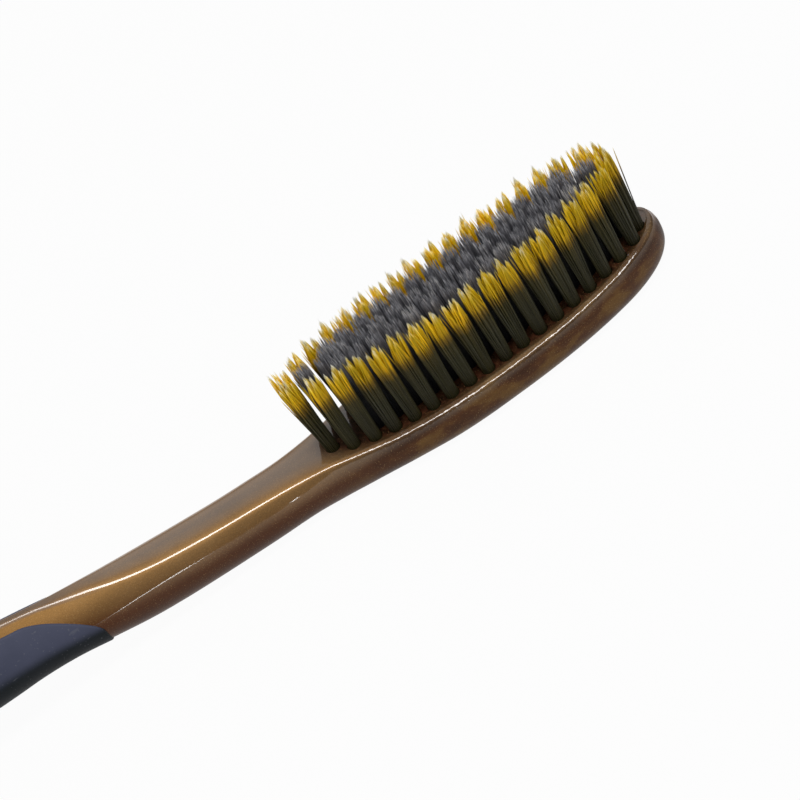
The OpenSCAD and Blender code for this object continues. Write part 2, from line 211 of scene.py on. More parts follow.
def curve_at(table, u):
    """Smooth curve through a table of places and values, at the place u."""
    i = 0
    while i < len(table) - 2 and u >= table[i + 1][0]:
        i += 1
    h = table[i + 1][0] - table[i][0]
    s = (u - table[i][0]) / h
    return ((1 + 2 * s) * (1 - s) ** 2 * table[i][1] + s * (1 - s) ** 2 * h * slope_at(table, i)
            + s * s * (3 - 2 * s) * table[i + 1][1] - s * s * (1 - s) * h * slope_at(table, i + 1))


# The lines of the handle, as part.scad has them

def place_share(x):
    return max(0.0, (HEAD_X - x) / (HEAD_X - TAIL_X))


def neck_share(x):
    return max(0.0, (NECK_X - x) / (NECK_X - TAIL_X))


def tail_share(x):
    return round_share((TAIL_X + TAIL_ROUND_L - x) / TAIL_ROUND_L)


def half_w(x):
    if x >= HEAD_X:
        return HEAD_W / 2 * oval_share((x - HEAD_X) / HEAD_REACH, HEAD_POWER)
    u = place_share(x)
    return tail_share(x) * (NECK_W + (HEAD_W - NECK_W) * curve_at(HEAD_WIDTH_SHARES, u)
                            + (GRIP_W - NECK_W) * curve_at(GRIP_WIDTH_SHARES, u)
                            + (TAIL_W - NECK_W) * curve_at(TAIL_WIDTH_SHARES, u)) / 2


def flat_half(x):
    face_half = HEAD_W / 2 - SIDE_BULGE
    if x >= HEAD_X:
        return max(END_TRIM, face_half * oval_share((x - HEAD_X) / (HEAD_REACH - SIDE_BULGE), HEAD_POWER))
    u = place_share(x)
    return max(END_TRIM, tail_share(x) * (NECK_FLAT_W / 2 * curve_at(NECK_FLAT_SHARES, u)
                                          + (face_half - NECK_FLAT_W / 2) * curve_at(FACE_WIDTH_SHARES, u)))


def face_z(x):
    s = (x - HEAD_X) / LAST_COLUMN_X
    past = max(0.0, s * abs(s) - 1) / ((HEAD_REACH / LAST_COLUMN_X) ** 2 - 1)
    return HEAD_T + FACE_DISH * s * s + NOSE_RISE * past * past


def line_top(x):
    if x >= NECK_X:
        return face_z(x)
    return face_z(NECK_X) + (HEAD_T + THUMB_H - face_z(NECK_X)) * curve_at(TOP_SHARES, neck_share(x))


def line_back(x):
    u = place_share(x)
    return ARCH_H * max(0.0, curve_at(ARCH_SHARES, u)) + RUBBER_PROUD * curve_at(LIFT_SHARES, u)


def nose_share(x):
    return round_share((x - TIP_X + NOSE_R) / NOSE_R)


def mid_z(x):
    """Height of the widest line."""
    waist = curve_at(WAIST_SHARES, place_share(x)) + NOSE_WAIST_SHARE * (1 - nose_share(x))
    return line_back(x) + (line_top(x) - line_back(x)) * waist


def nose_top_share(x):
    s = min(1.0, (TIP_X - x) / SIDE_BULGE)
    return math.sin(math.acos(1 - (1 - math.cos(NOSE_TURN)) * s)) / math.sin(NOSE_TURN)


def blunted(share):
    return BLUNT_SHARE + (1 - BLUNT_SHARE) * share


def top_z(x):
    return mid_z(x) + (line_top(x) - mid_z(x)) * min(nose_top_share(x), blunted(tail_share(x)))


def back_z(x):
    return mid_z(x) - (mid_z(x) - line_back(x)) * min(blunted(nose_share(x)), blunted(tail_share(x)))


def edge_share(x):
    return curve_at(EDGE_SHARES, place_share(x)) + NOSE_EDGE_SHARE * max(0.0, (x - HEAD_X) / HEAD_REACH) ** 2


def section(x):
    """What a point of the section at x is worked out from."""
    w = half_w(x)
    mid = mid_z(x)
    top = top_z(x)
    return {"w": w, "mid": mid, "top": top, "flat": min(flat_half(x), w * FLAT_MOST_SHARE),
            "knee": mid + (top - mid) * curve_at(SHOULDER_SHARES, place_share(x)),
            "ry_low": w * edge_share(x), "rz_low": mid - back_z(x)}


def section_point(s, t, depth=0.0):
    """A point of the section s, depth inside it.

    t is 0 at the edge of the flat, 1 at the widest line, and 2 where the underside is flat.
    """
    if t <= 1:
        b = 1 - t
        y = b * b * s["flat"] + (1 - b * b) * s["w"]
        z = b * b * s["top"] + 2 * b * t * s["knee"] + t * t * s["mid"]
        ny = 2 * (b * (s["top"] - s["knee"]) + t * (s["knee"] - s["mid"]))
        nz = 2 * b * (s["w"] - s["flat"])
    else:
        a = math.pi / 2 * (t - 1)
        y = s["w"] - s["ry_low"] + s["ry_low"] * math.cos(a)
        z = s["mid"] - s["rz_low"] * math.sin(a)
        ny, nz = math.cos(a) / s["ry_low"], -math.sin(a) / s["rz_low"]
    n = math.hypot(ny, nz)
    return np.array([y - depth * ny / n, z - depth * nz / n])


def rubber_edge(x):
    """Where the rubber begins on the section at x: high on the side, and at the widest line at its ends."""
    s = clamped(min(RUBBER_FRONT_X - x, x - RUBBER_BACK_X) / TONGUE_L)
    return RUBBER_TOP_SHARE + (1 - RUBBER_TOP_SHARE) * (1 - s ** RISE_POWER) ** FALL_POWER


# The dressed outline

def neckness(x):
    """0 on the head, 1 on the neck and behind it."""
    return smooth_share((HEAD_X - NECK_BLEND_FROM - x) / NECK_BLEND_L)


def lowness(x, z, lo, hi):
    """0 above hi and 1 below lo, which are shares of the height from the widest line to the top."""
    share = (z - mid_z(x)) / (top_z(x) - mid_z(x))
    return smooth_share((hi - share) / (hi - lo))


def bezier(start, lead, trail, end, b):
    return ((1 - b) ** 3 * start + 3 * b * (1 - b) ** 2 * lead + 3 * b * b * (1 - b) * trail
            + b ** 3 * end)


def top_and_rounding(x, s, neck):
    """Points over the crowned top and its rounded edge, and the place on the side where the side begins."""
    corner = np.array([s["flat"], s["top"]])
    reach = min(CREASE_REACH + HEAD_REACH_MORE * (1 - neck),
                (s["w"] - s["flat"]) * NARROW_REACH_SHARE + LEAST_REACH)
    roll = min(CREASE_ROLL + HEAD_ROLL_MORE * (1 - neck), s["flat"] * NARROW_ROLL_SHARE)
    crown = min(NECK_CROWN * neck, CROWN_MOST_SHARE * s["flat"])
    fall_w = min(s["flat"], CROWN_FALL_W + NECK_FALL_MORE * neck)

    def top_at(y):
        return s["top"] + crown * (1 - (max(0.0, y - s["flat"] + fall_w) / fall_w) ** CROWN_POWER)

    # The side starts where it is as far from the corner as the rounding reaches
    ts = np.linspace(0, 1, SEARCH_POINTS)
    side = np.array([section_point(s, t) for t in ts])
    k = int(np.searchsorted(np.linalg.norm(side - corner, axis=1), reach))
    k = min(max(k, 1), len(ts) - 2)
    end = side[k]
    # The rounding leaves the top along the top's own slope, and meets the side near the corner
    y0 = s["flat"] - roll
    start = np.array([y0, top_at(y0)])
    slope = CROWN_POWER * crown * (max(0.0, fall_w - roll) / fall_w) ** (CROWN_POWER - 1) / fall_w
    lead = np.array([y0 + LEAD_SHARE * roll, top_at(y0) - LEAD_SHARE * roll * slope])
    trail = end + (TRAIL_SHARE + NECK_TRAIL_MORE * neck) * (corner - end)
    points = [np.array([y0 * i / TOP_STEPS, top_at(y0 * i / TOP_STEPS)]) for i in range(TOP_STEPS)]
    points += [bezier(start, lead, trail, end, i / ROUNDING_STEPS) for i in range(ROUNDING_STEPS + 1)]
    return points, ts[k]


def handle_ring(x):
    """Half of the dressed outline at x, from the middle of the top round to the middle of the back."""
    s = section(x)
    neck = neckness(x)
    points, t0 = top_and_rounding(x, s, neck)
    slope = (flat_half(x + SLOPE_STEP) - flat_half(x - SLOPE_STEP)) / (2 * SLOPE_STEP)
    for p in points:
        inside = (s["flat"] - p[0]) / math.hypot(1, slope)
        p[1] += BEAD_H * (1 - neck) * math.exp(-((inside - BEAD_IN) / BEAD_HALF_W) ** 2)
    points += [section_point(s, t0 + (1 - t0) * i / SIDE_STEPS) for i in range(1, SIDE_STEPS + 1)]
    points += [section_point(s, 1 + i / LOWER_STEPS) for i in range(1, LOWER_STEPS + 1)]
    last = points[-1]
    points += [np.array([last[0] * (1 - i / BACK_STEPS), last[1]]) for i in range(1, BACK_STEPS + 1)]
    return [(x, p[0], max(p[1], LOWEST_Z)) for p in points]


def mirrored(points):
    return [(x, -y, z) for x, y, z in points]


def closed_ring(half):
    """Both sides of an outline whose first and last points lie in the middle plane."""
    return half + mirrored(half[-2:0:-1])


def spaced(lo, hi, n, fine_lo, fine_hi):
    """Places from lo to hi, closer together near the ends that are to be fine."""
    u = np.linspace(0, 1, n)
    if fine_lo and fine_hi:
        u = (1 - np.cos(math.pi * u)) / 2
    elif fine_hi:
        u = np.sin(math.pi / 2 * u)
    elif fine_lo:
        u = 1 - np.cos(math.pi / 2 * u)
    return list(lo + (hi - lo) * u)


# Meshes

def mesh_object(name, verts, faces, smooth=True):
    """An object in the scene from points in millimetres."""
    mesh = bpy.data.meshes.new(name)
    mesh.from_pydata([tuple(c * MM for c in v) for v in verts], [], faces)
    mesh.validate()
    mesh.update()
    for polygon in mesh.polygons:
        polygon.use_smooth = smooth
    obj = bpy.data.objects.new(name, mesh)
    bpy.context.scene.collection.objects.link(obj)
    return obj


def side_faces(n, rings, at=0):
    """Faces between rings of n points each, of which the first point is number at."""
    faces = []
    for k in range(rings - 1):
        for i in range(n):
            p, q = at + k * n + i, at + k * n + (i + 1) % n
            faces.append((p, q, q + n, p + n))
    return faces


def tube(name, rings):
    """A closed skin over rings that run the other way round than side_faces has them."""
    n = len(rings[0])
    verts = [p for ring in rings for p in ring]
    faces = [(p, s, r, q) for p, q, r, s in side_faces(n, len(rings))]
    faces.append(tuple(range(n)))
    faces.append(tuple(reversed(range(len(verts) - n, len(verts)))))
    return mesh_object(name, verts, faces)


def point_values(obj, values):
    """Keep a number for each point of the mesh under each name, for the materials."""
    for name, numbers in values.items():
        attribute = obj.data.attributes.new(name, "FLOAT", "POINT")
        attribute.data.foreach_set("value", np.array(numbers, dtype=np.float32))


def apply_modifiers(obj):
    """Give the object the mesh that its modifiers work out."""
    deps = bpy.context.evaluated_depsgraph_get()
    mesh = bpy.data.meshes.new_from_object(obj.evaluated_get(deps))
    obj.modifiers.clear()
    obj.data = mesh


# Tuft places, as offsets from the middle of the head, with the row that each belongs to
FIELD_REACH = FIELD_L * FIELD_REACH_SHARE


def field_y(x):
    return TUFT_FIELD_W * oval_share(x / FIELD_REACH, FIELD_POWER)


def other_side(places):
    return [(x, -y) for x, y in places]


outer_x = [-FIELD_L] + [i * TUFT_PITCH for i in range(-TUFT_COLUMNS, TUFT_COLUMNS + 1)]
outer_places = [(x, field_y(x)) for x in outer_x] + [(LAST_COLUMN_X + TIP_STEP, field_y(FIELD_L))]
inner_x = [(i + 0.5) * TUFT_PITCH for i in range(1 - TUFT_COLUMNS, TUFT_COLUMNS - 1)]
inner_places = [(x, field_y(x) / 2) for x in inner_x]
middle_x = [i * TUFT_PITCH for i in range(-TUFT_COLUMNS, TUFT_COLUMNS)] + [LAST_COLUMN_X - TIP_INSET]
rows = {
    "outer_tufts_left": outer_places,
    "outer_tufts_right": other_side(outer_places),
    "inner_tufts_left": inner_places,
    "inner_tufts_right": other_side(inner_places),
    "middle_tufts": [(x, 0.0) for x in middle_x],
}

# The rings of the handle are closer together near its ends: over this length at the tail, and in two
# stretches from this far behind the middle of the head, which meet this far before it
TAIL_STRETCH = 14.0
NECK_STRETCH = 26.0
HEAD_STRETCH = 8.0
# Each stretch: from, to, count of rings, and whether they are closer together at the start or the end
HANDLE_STRETCHES = [
    (TAIL_X + END_TRIM, TAIL_X + TAIL_STRETCH, 34, True, False),
    (TAIL_X + TAIL_STRETCH, HEAD_X - NECK_STRETCH, 150, False, False),
    (HEAD_X - NECK_STRETCH, HEAD_X + HEAD_STRETCH, 80, False, False),
    (HEAD_X + HEAD_STRETCH, TIP_X - END_TRIM, 64, False, True),
]
HOLE_SIDES = 28
# The cutter of the holes stands this far out of the face
OVERRUN = 1.0
# Edges that turn more than this stay sharp
SHARP_ANGLE = math.radians(38)

# Where the bronze changes its look, painted light and shade included, in millimetres where it isn't a share.
# Behind the neck the ridge is dusky, without the painted gold sheen, from this place back and over this
# length. Heights here are shares of the way from the widest line to the top: the ridge is dusky above these.
CREST_X = 26.0
CREST_L = 8.0
CREST_HEIGHTS = (0.955, 0.995)
# The painted gold sheen along the edge of the top, and the width over which it gives way to dusky brown
GOLD_EDGE_W = 0.1
GOLD_FADE_W = 2.0
# Heights between which the side turns to painted shade, a darker red-brown, on the head, and how much
# lower they lie on the neck
SHADE_LO = 0.5
SHADE_HI = 1.0
NECK_SHADE_LO_DROP = 0.4
NECK_SHADE_HI_DROP = 0.1
# The ground of the tufts, darkened in patches with painted shade, is this much larger than their field,
# and has a soft rim
GROUND_PAST_END = 1.2
GROUND_PAST_SIDE = 1.0
GROUND_RIM_SHARE = 1.06
GROUND_FADE_SHARE = 0.12
# None of it is left at this depth in the holes. It fades out over this height above that.
GROUND_DEPTH = 4.0
GROUND_FADE_H = 2.0
# There is none of it more than this behind the root of the neck
GROUND_BACK = 4.0
# The clear gloss is thinner from this place back, over this length
FAR_X = 25.0
FAR_L = 9.0


def hole_cutter():
    """A closed bar for each blind hole, from the bottom of the hole to above the face."""
    n = HOLE_SIDES
    verts, faces = [], []
    for px, py in [place for places in rows.values() for place in places]:
        face = face_z(HEAD_X + px)
        at = len(verts)
        for z in (face - HOLE_DEPTH, face + OVERRUN):
            for i in range(n):
                a = 2 * math.pi * (i + 0.5) / n
                verts.append((HEAD_X + px + HOLE_D / 2 * math.cos(a), py + HOLE_D / 2 * math.sin(a), z))
        faces.append(tuple(reversed(range(at, at + n))))
        faces.append(tuple(range(at + n, at + 2 * n)))
        faces += side_faces(n, 2, at)
    return mesh_object("hole_cutter", verts, faces)


def handle_looks(x, y, z):
    """How far, from 0 to 1, each change of the bronze's look goes at a point of the handle."""
    neck = neckness(x)
    crest = clamped((CREST_X - x) / CREST_L) * (1 - lowness(x, z, *CREST_HEIGHTS))
    from_edge = clamped((flat_half(x) - abs(y) - GOLD_EDGE_W) / GOLD_FADE_W)
    oval = (abs((x - HEAD_X) / (FIELD_L + GROUND_PAST_END)) ** HEAD_POWER
            + abs(y / (TUFT_FIELD_W + GROUND_PAST_SIDE)) ** HEAD_POWER) ** (1 / HEAD_POWER)
    near_face = clamped((z - face_z(x) + GROUND_DEPTH) / GROUND_FADE_H) if x > NECK_X - GROUND_BACK else 0.0
    # field and low carry painted shade, and middle the dusky top where the painted gold sheen of the edge is
    # missing
    return {
        "field": near_face * clamped((GROUND_RIM_SHARE - oval) / GROUND_FADE_SHARE),
        "head": 1 - neck,
        "low": lowness(x, z, SHADE_LO - NECK_SHADE_LO_DROP * neck, SHADE_HI - NECK_SHADE_HI_DROP * neck),
        "middle": max(crest, from_edge) if z > mid_z(x) else 0.0,
        "far": clamped((FAR_X - x) / FAR_L),
    }


def make_handle():
    """The handle as one smooth skin with its blind holes."""
    places = [TAIL_X + END_TRIM]
    for stretch in HANDLE_STRETCHES:
        places += spaced(*stretch)[1:]
    obj = tube("handle_body", [closed_ring(handle_ring(x)) for x in places])
    cutter = hole_cutter()
    cut = obj.modifiers.new("holes", "BOOLEAN")
    cut.operation = "DIFFERENCE"
    cut.solver = "EXACT"
    cut.object = cutter
    apply_modifiers(obj)
    bpy.data.objects.remove(cutter)
    obj.data.set_sharp_from_angle(angle=SHARP_ANGLE)
    looks = [handle_looks(*(c / MM for c in vertex.co)) for vertex in obj.data.vertices]
    point_values(obj, {name: [look[name] for look in looks] for name in looks[0]})
    return obj


RUBBER_RINGS = 190
# The rubber's edge rolls over this width. It starts a little under the handle's surface, and the bed
# lies deeper.
RUBBER_ROLL = 0.34
RUBBER_EDGE_DEPTH = 0.01
RUBBER_BED_DEPTH = 0.35
# Points across the roll, down the rest of the skin and back up the bed
ROLL_POINTS = 7
SKIN_POINTS = 34
BED_POINTS = 20
# Places round the section by which the length of its outline is measured
OUTLINE_PLACES = np.linspace(0, 2, 241)
# Heights, as shares again, between which the rubber's upper face, lighter with painted light, turns to its
# lower one, darker with painted shade
RUBBER_SHADE = (-0.05, 0.25)


def rolled(d):
    """How much of its height the rubber has at a distance from its edge."""
    return round_share(1 - d / RUBBER_ROLL)


def rubber_ring(x, from_end):
    """Skin and bed of the rubber on the section at x."""
    s = section(x)
    edge = rubber_edge(x)
    line = np.array([section_point(s, t) for t in OUTLINE_PLACES])
    run = np.concatenate([[0], np.cumsum(np.linalg.norm(np.diff(line, axis=0), axis=1))])
    at_edge = np.interp(edge, OUTLINE_PLACES, run)
    skin, bed = [], []
    for d in [*np.linspace(0, RUBBER_ROLL, ROLL_POINTS),
              *np.linspace(RUBBER_ROLL, run[-1] - at_edge, SKIN_POINTS)[1:]]:
        t = float(np.interp(at_edge + d, run, OUTLINE_PLACES))
        rise = rolled(d) * rolled(from_end)
        p = section_point(s, t, -RUBBER_PROUD * rise + RUBBER_EDGE_DEPTH * (1 - rise))
        skin.append((x, p[0], max(p[1], LOWEST_Z)))
    for t in np.linspace(2, edge, BED_POINTS):
        p = section_point(s, float(t), RUBBER_BED_DEPTH)
        bed.append((x, p[0], p[1]))
    return skin + mirrored(skin[::-1]) + mirrored(bed[::-1]) + bed


def make_rubber():
    """The rubber's skin, proud of the handle with a rolled edge, and its bed under the handle's surface."""
    places = spaced(RUBBER_BACK_X, RUBBER_FRONT_X, RUBBER_RINGS, True, True)
    obj = tube("rubber_skin", [rubber_ring(x, min(x - places[0], places[-1] - x)) for x in places])
    low = [lowness(v.co.x / MM, v.co.z / MM, *RUBBER_SHADE) for v in obj.data.vertices]
    point_values(obj, {"low": low})
    return obj


# The two kinds of tuft, in millimetres where it isn't a share or a count. points is the range, without its
# end, of how many points the tips gather in, and reach that of the tuft's radius at the top. rise is how
# much of its point's own rise a filament takes on, fall how much lower it ends for each millimetre from the
# point, and uneven the scatter of the heights. gather is how far the tips go to their point, and strays the
# share of filaments that don't.
OUTER = {"filaments": 104, "height": BRISTLE_H, "points": (4, 7), "reach": (0.98, 1.14),
         "rise": 1.0, "fall": 0.9, "uneven": 0.1, "gather": (0.55, 0.85), "strays": 0.10}
INNER = {"filaments": 84, "height": BRISTLE_H - INNER_DROP, "points": (6, 8), "reach": (0.98, 1.1),
         "rise": 0.5, "fall": 0.3, "uneven": 0.2, "gather": (0.1, 0.35), "strays": 0.04}
# Turn in radians from one filament to the next, which fills a disc evenly
GOLDEN_ANGLE = 2.399963
# The feet of the filaments fill this radius
FOOT_R = TUFT_D / 2 - 0.07
# The points of a tuft: their part of its reach, and the scatter of their turns, heights and common lean
POINT_REACH_SHARE = 0.9
POINT_TURN = 0.3
POINT_RISES = (-0.42, 0.18)
TUFT_LEAN = 0.08
# The tufts of the pair at the neck's end lean this far back
END_LEAN = 0.35
# A filament: scatter of its free end, its bow and its radius
FREE_SCATTER = 0.06
BOW = 0.045
FILAMENT_R = (0.056, 0.068)
# A stray spreads by these factors, least and most along x and y, and is lower or higher by these
STRAY_SPREAD = (1.08, (1.5, 1.2))
STRAY_RISES = (-1.0, 0.25)
# No filament is taller than this share of its tuft's height
TALLEST_SHARE = 1.03
# Heights along a filament as shares of its own, how thick it is there as a share of its radius, and how
# much of its spread it has there
LEVELS = np.array([-0.1, 0.0, 0.3, 0.58, 0.76, 0.87, 0.945, 1.0])
SLIM = np.array([1.0, 1.0, 1.0, 1.0, 1.0, 0.84, 0.5, 0.1])
SPREAD = np.clip(LEVELS, 0, 1) ** 1.15
# The tips turn to their point from this level, over this length and with this exponent
GATHER_FROM = 0.7
GATHER_OVER = 0.3
GATHER_POWER = 1.3
# Turns of the four corners round a filament
CORNERS = 2 * math.pi * np.arange(4) / 4
# How much of a filament's tone is its own, and how much its tuft's
OWN_TONE = 0.7
TUFT_TONE = 0.3


def random_tuft(rng, kind, leans_back):
    """The points in which the tips of one tuft gather, and what else its filaments share."""
    count = rng.integers(*kind["points"])
    turn = rng.uniform(0, 2 * math.pi)
    reach = rng.uniform(*kind["reach"])
    order = np.arange(count)
    from_middle = np.sqrt((order + 0.5) / count) * reach * POINT_REACH_SHARE
    turns = order * GOLDEN_ANGLE + turn + rng.normal(0, POINT_TURN, count)
    points = np.stack([from_middle * np.cos(turns), from_middle * np.sin(turns)], axis=1)
    rises = rng.uniform(*POINT_RISES, count)
    lean = rng.normal(0, TUFT_LEAN, 2)
    if leans_back:
        lean[0] -= END_LEAN
    return {"turn": turn, "reach": reach, "points": points, "rises": rises, "lean": lean,
            "tone": rng.uniform(0, 1)}


def random_filament(rng, kind, tuft, number, tall):
    """Filament of a tuft by its number: its turn, foot, free end, tip, bow, height, radius and tone."""
    r = FOOT_R * math.sqrt((number + 0.5) / kind["filaments"])
    turn = number * GOLDEN_ANGLE + tuft["turn"]
    foot = np.array([r * math.cos(turn), r * math.sin(turn)])
    free = foot / FOOT_R * tuft["reach"] + rng.normal(0, FREE_SCATTER, 2)
    near = int(np.argmin(np.linalg.norm(tuft["points"] - free, axis=1)))
    point = tuft["points"][near]
    height = (tall + kind["rise"] * tuft["rises"][near] - kind["fall"] * np.linalg.norm(point - free)
              + rng.normal(0, kind["uneven"]))
    gather = rng.uniform(*kind["gather"])
    if rng.random() < kind["strays"]:
        free = free * rng.uniform(*STRAY_SPREAD, 2)
        gather = 0.0
        height += rng.uniform(*STRAY_RISES)
    return {"turn": turn, "foot": foot, "free": free, "tip": free + (point - free) * gather,
            "bow": rng.normal(0, BOW, 2), "height": min(height, tall * TALLEST_SHARE),
            "radius": rng.uniform(*FILAMENT_R),
            "tone": OWN_TONE * rng.uniform(0, 1) + TUFT_TONE * tuft["tone"]}


def filament_points(x, y, z, lean, filament):
    """Rings of points along a filament whose tuft stands at x, y, z."""
    foot, free, tip = filament["foot"], filament["free"], filament["tip"]
    points = []
    for level, spread, slim in zip(LEVELS, SPREAD, SLIM):
        above = max(0.0, level - GATHER_FROM) / GATHER_OVER
        target = free + (tip - free) * above ** GATHER_POWER + lean
        centre = foot + (target - foot) * spread + filament["bow"] * math.sin(math.pi * max(0.0, level))
        for corner in CORNERS + filament["turn"]:
            points.append((x + centre[0] + filament["radius"] * slim * math.cos(corner),
                           y + centre[1] + filament["radius"] * slim * math.sin(corner),
                           z + level * filament["height"]))
    return points


def make_tufts(name, places, kind, seed, painted_light):
    """One row of tufts: fine tapered filaments that spread upwards and gather in points at the tips."""
    rng = np.random.default_rng(seed)
    n, levels = len(CORNERS), len(LEVELS)
    verts, along, tone, faces = [], [], [], []
    for px, py in places:
        x = HEAD_X + px
        tall = kind["height"] + FACE_DISH / 2 * (px / LAST_COLUMN_X) ** 2
        tuft = random_tuft(rng, kind, leans_back=px < -LAST_COLUMN_X)
        for number in range(kind["filaments"]):
            filament = random_filament(rng, kind, tuft, number, tall)
            at = len(verts)
            verts += filament_points(x, py, face_z(x), tuft["lean"], filament)
            along += [level * filament["height"] / tall for level in LEVELS for corner in CORNERS]
            # The far row's filaments are paled with painted light
            tone += [painted_light + (1 - painted_light) * filament["tone"]] * (n * levels)
            faces += side_faces(n, levels, at)
            faces.append(tuple(reversed(range(at, at + n))))
            faces.append(tuple(range(len(verts) - n, len(verts))))
    obj = mesh_object(name, verts, faces)
    point_values(obj, {"along": along, "tone": tone})
    return obj


# Materials

# Numbers of the sockets by which a Mix node mixes colours
MIX_FACTOR = 0
MIX_A = 6
MIX_B = 7
MIX_RESULT = 2


class Nodes:
    """A few short words for building a material."""

    def __init__(self, name):
        self.material = bpy.data.materials.new(name)
        self.material.use_nodes = True
        self.tree = self.material.node_tree
        self.bsdf = self.tree.nodes["Principled BSDF"]
        self.output = self.tree.nodes["Material Output"]

    def add(self, kind, **settings):
        node = self.tree.nodes.new(kind)
        for key, value in settings.items():
            setattr(node, key, value)
        return node

    def link(self, a, b):
        self.tree.links.new(a, b)

    def feed(self, value, socket):
        """Link an output to the socket, or set a plain value on it."""
        if hasattr(value, "is_linked"):
            self.link(value, socket)
        else:
            socket.default_value = value

    def attribute(self, name):
        return self.add("ShaderNodeAttribute", attribute_name=name).outputs["Fac"]

    def object_coords(self, scale=(1, 1, 1)):
        coords = self.add("ShaderNodeTexCoord")
        mapping = self.add("ShaderNodeMapping")
        mapping.inputs["Scale"].default_value = scale
        self.link(coords.outputs["Object"], mapping.inputs["Vector"])
        return mapping.outputs["Vector"]

    def noise(self, vector, scale, detail, roughness):
        node = self.add("ShaderNodeTexNoise")
        node.inputs["Scale"].default_value = scale
        node.inputs["Detail"].default_value = detail
        node.inputs["Roughness"].default_value = roughness
        self.link(vector, node.inputs["Vector"])
        return node.outputs["Fac"]

    def ramp(self, factor, stops):
        node = self.add("ShaderNodeValToRGB")
        elements = node.color_ramp.elements
        while len(elements) < len(stops):
            elements.new(0.5)
        for element, (position, colour) in zip(elements, stops):
            element.position = position
            element.color = (*colour, 1)
        self.link(factor, node.inputs["Fac"])
        return node.outputs["Color"]

    def mix(self, factor, a, b, blend="MIX"):
        node = self.add("ShaderNodeMix", data_type="RGBA", blend_type=blend)
        self.feed(factor, node.inputs[MIX_FACTOR])
        for colour, index in ((a, MIX_A), (b, MIX_B)):
            self.feed((*colour, 1) if isinstance(colour, tuple) else colour, node.inputs[index])
        return node.outputs[MIX_RESULT]

    def math(self, operation, a, b):
        node = self.add("ShaderNodeMath", operation=operation)
        self.feed(a, node.inputs[0])
        self.feed(b, node.inputs[1])
        return node.outputs[0]

    def red(self, colour):
        node = self.add("ShaderNodeSeparateColor")
        self.link(colour, node.inputs["Color"])
        return node.outputs["Red"]

    def bump(self, height, strength, distance, socket="Normal"):
        node = self.add("ShaderNodeBump")
        node.inputs["Strength"].default_value = strength
        node.inputs["Distance"].default_value = distance
        self.link(height, node.inputs["Height"])
        self.link(node.outputs["Normal"], self.bsdf.inputs[socket])

    def put(self, **values):
        """Feed the shader's own sockets, by their names with _ for a space."""
        for key, value in values.items():
            self.feed(value, self.bsdf.inputs[key.replace("_", " ")])


def bronze_material():
    """Pearlescent bronze under clear gloss: gold flakes, painted sheen on top, painted red-brown shade low
    on the sides.
    """
    m = Nodes("pearl_bronze")
    plain = m.object_coords()
    cloud = m.noise(m.object_coords((0.45, 1, 1)), scale=300, detail=3, roughness=0.55)
    grain = m.noise(plain, scale=9000, detail=2, roughness=0.7)
    patch = m.noise(plain, scale=1500, detail=3, roughness=0.6)
    wave = m.noise(m.object_coords((0.5, 1, 1)), scale=1500, detail=2, roughness=0.6)
    field, head, low, middle, far = (m.attribute(name) for name in ("field", "head", "low", "middle", "far"))

    # The upper surfaces of the neck and of the head: on the neck a painted gold sheen along the top's edge,
    # dusky brown further in, where that painted sheen is missing
    gold = m.ramp(cloud, [(0.34, (0.196, 0.104, 0.032)), (0.5, (0.215, 0.116, 0.038)),
                          (0.66, (0.234, 0.130, 0.046))])
    dusky = m.ramp(cloud, [(0.34, (0.128, 0.086, 0.056)), (0.5, (0.142, 0.094, 0.061)),
                           (0.66, (0.156, 0.104, 0.066))])
    rim = m.ramp(cloud, [(0.38, (0.066, 0.034, 0.014)), (0.60, (0.132, 0.080, 0.034))])
    upper = m.mix(head, m.mix(middle, gold, dusky), rim)
    # Painted shade: the lower sides of the neck and of the head, darker red-brown, with the head's own
    # blotches, and the ground between the tufts, darkened in patches
    brown = m.ramp(cloud, [(0.34, (0.054, 0.016, 0.007)), (0.66, (0.068, 0.023, 0.009))])
    blotches = m.ramp(cloud, [(0.40, (0.024, 0.006, 0.002)), (0.5, (0.055, 0.018, 0.005)),
                              (0.58, (0.112, 0.055, 0.014))])
    # Painted shade on the ground between the tufts, in patches
    painted_tuft_shade = m.ramp(patch, [(0.40, (0.010, 0.004, 0.002)), (0.64, (0.044, 0.014, 0.007))])
    body = m.mix(field, m.mix(low, upper, m.mix(head, brown, blotches)), painted_tuft_shade)
    grey_grain = m.ramp(grain, [(0.3, (0.80, 0.80, 0.80)), (0.7, (1.22, 1.2, 1.16))])
    body = m.mix(1.0, body, grey_grain, "MULTIPLY")

    # Single bright flakes, and the metallic sheen of the many small ones, which the painted shade leaves out
    flakes = m.add("ShaderNodeTexVoronoi")
    flakes.inputs["Scale"].default_value = 16000
    m.link(plain, flakes.inputs["Vector"])
    bright = m.math("GREATER_THAN", m.red(flakes.outputs["Color"]), 0.965)
    body = m.mix(m.math("MULTIPLY", bright, 0.3), body, (0.40, 0.26, 0.11))
    flaked = m.math("MULTIPLY", m.math("SUBTRACT", 1.0, m.math("MAXIMUM", low, field)), 0.65)
    m.put(Base_Color=body, Metallic=flaked, IOR=1.5)
    m.put(Specular_IOR_Level=0.25, Specular_Tint=(1.0, 0.53, 0.2, 1))
    m.put(Roughness=m.math("ADD", 0.49, m.math("MULTIPLY", grain, 0.09)))
    m.bump(m.math("ADD", m.math("MULTIPLY", bright, 0.4), grain), strength=0.10, distance=0.00003)

    # The gloss is thin low on the sides and behind the neck, and a little wavy on the head
    coat = m.math("SUBTRACT", 1.0, m.math("MULTIPLY", low, 0.85))
    coat = m.math("MULTIPLY", coat, m.math("SUBTRACT", 1.0, m.math("MULTIPLY", far, 0.6)))
    m.put(Coat_Weight=coat, Coat_Roughness=0.06, Coat_IOR=1.6)
    m.bump(m.math("MULTIPLY", wave, head), strength=0.5, distance=0.00012, socket="Coat Normal")
    return m.material


